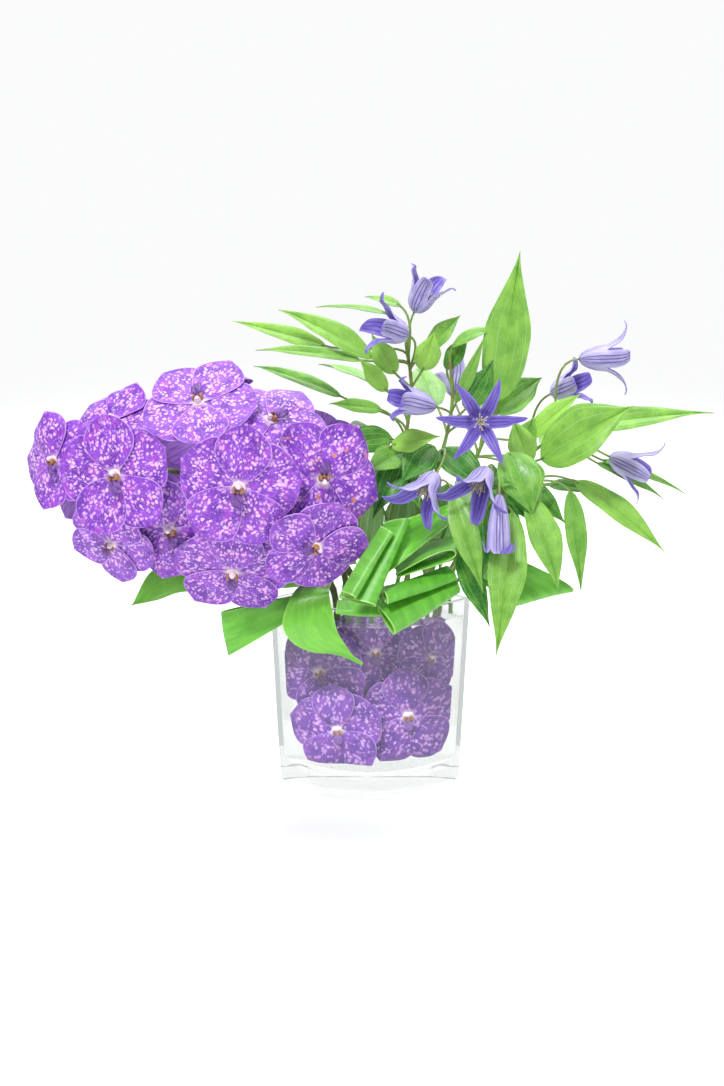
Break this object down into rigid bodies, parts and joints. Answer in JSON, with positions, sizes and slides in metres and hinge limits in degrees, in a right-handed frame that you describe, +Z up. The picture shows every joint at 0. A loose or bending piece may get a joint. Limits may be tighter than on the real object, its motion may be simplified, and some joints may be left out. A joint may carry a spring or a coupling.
{
  "type": "vanda orchid arrangement",
  "caption": "Violet vanda orchid spikes with blue clematis sprigs and folded aspidistra leaves in a clear glass pillow vase of water.",
  "frame": {"origin": "middle of the vase's flat base, on the surface that it stands on", "axes": "+Z up; the front faces -Y; the orchid cluster leans to -X and the clematis sprigs to +X"},
  "size_m": [0.5149, 0.2073, 0.4044],
  "materials": {
    "clear_glass": "polished",
    "still_water": "polished",
    "vanda_petal": "satin",
    "sunk_petal": "satin",
    "vanda_stem": "satin",
    "clematis_leaf": "satin",
    "clematis_tepal": "satin",
    "aspidistra_leaf": "satin"
  },
  "bodies": {
    "root": {"vase": "clear_glass", "water": "still_water", "vanda_spike_1": "vanda_stem", "vanda_spike_2": "vanda_stem", "vanda_spike_3": "vanda_stem", "spike_bloom_01": "vanda_petal", "spike_bloom_02": "vanda_petal", "spike_bloom_03": "vanda_petal", "spike_bloom_04": "vanda_petal", "spike_bloom_05": "vanda_petal", "spike_bloom_06": "vanda_petal", "spike_bloom_07": "vanda_petal", "spike_bloom_08": "vanda_petal", "spike_bloom_09": "vanda_petal", "spike_bloom_10": "vanda_petal", "spike_bloom_11": "vanda_petal", "spike_bloom_12": "vanda_petal", "spike_bloom_13": "vanda_petal", "spike_bloom_14": "vanda_petal", "spike_bloom_15": "vanda_petal", "spike_bloom_16": "vanda_petal", "spike_bloom_17": "vanda_petal", "spike_bloom_18": "vanda_petal", "spike_bloom_19": "vanda_petal", "spike_bloom_20": "vanda_petal", "sunk_bloom_1": "sunk_petal", "sunk_bloom_2": "sunk_petal", "sunk_bloom_3": "sunk_petal", "sunk_bloom_4": "sunk_petal", "sunk_bloom_5": "sunk_petal", "sunk_bloom_6": "sunk_petal", "clematis_sprig_1": "clematis_leaf", "clematis_sprig_2": "clematis_leaf", "clematis_sprig_3": "clematis_leaf", "clematis_sprig_4": "clematis_leaf", "clematis_sprig_5": "clematis_leaf", "clematis_flower_01": "clematis_tepal", "clematis_flower_02": "clematis_tepal", "clematis_flower_03": "clematis_tepal", "clematis_flower_04": "clematis_tepal", "clematis_flower_05": "clematis_tepal", "clematis_flower_06": "clematis_tepal", "clematis_flower_07": "clematis_tepal", "clematis_flower_08": "clematis_tepal", "clematis_flower_09": "clematis_tepal", "clematis_flower_10": "clematis_tepal", "clematis_flower_11": "clematis_tepal", "aspidistra_fold_1": "aspidistra_leaf", "aspidistra_fold_2": "aspidistra_leaf", "aspidistra_fold_3": "aspidistra_leaf", "aspidistra_fold_4": "aspidistra_leaf", "aspidistra_fold_5": "aspidistra_leaf", "aspidistra_fold_6": "aspidistra_leaf", "aspidistra_fold_7": "aspidistra_leaf", "aspidistra_fold_8": "aspidistra_leaf", "aspidistra_fold_9": "aspidistra_leaf", "aspidistra_fold_10": "aspidistra_leaf", "aspidistra_fold_11": "aspidistra_leaf", "aspidistra_leaf_1": "aspidistra_leaf", "aspidistra_leaf_2": "aspidistra_leaf"}
  },
  "joints": []
}
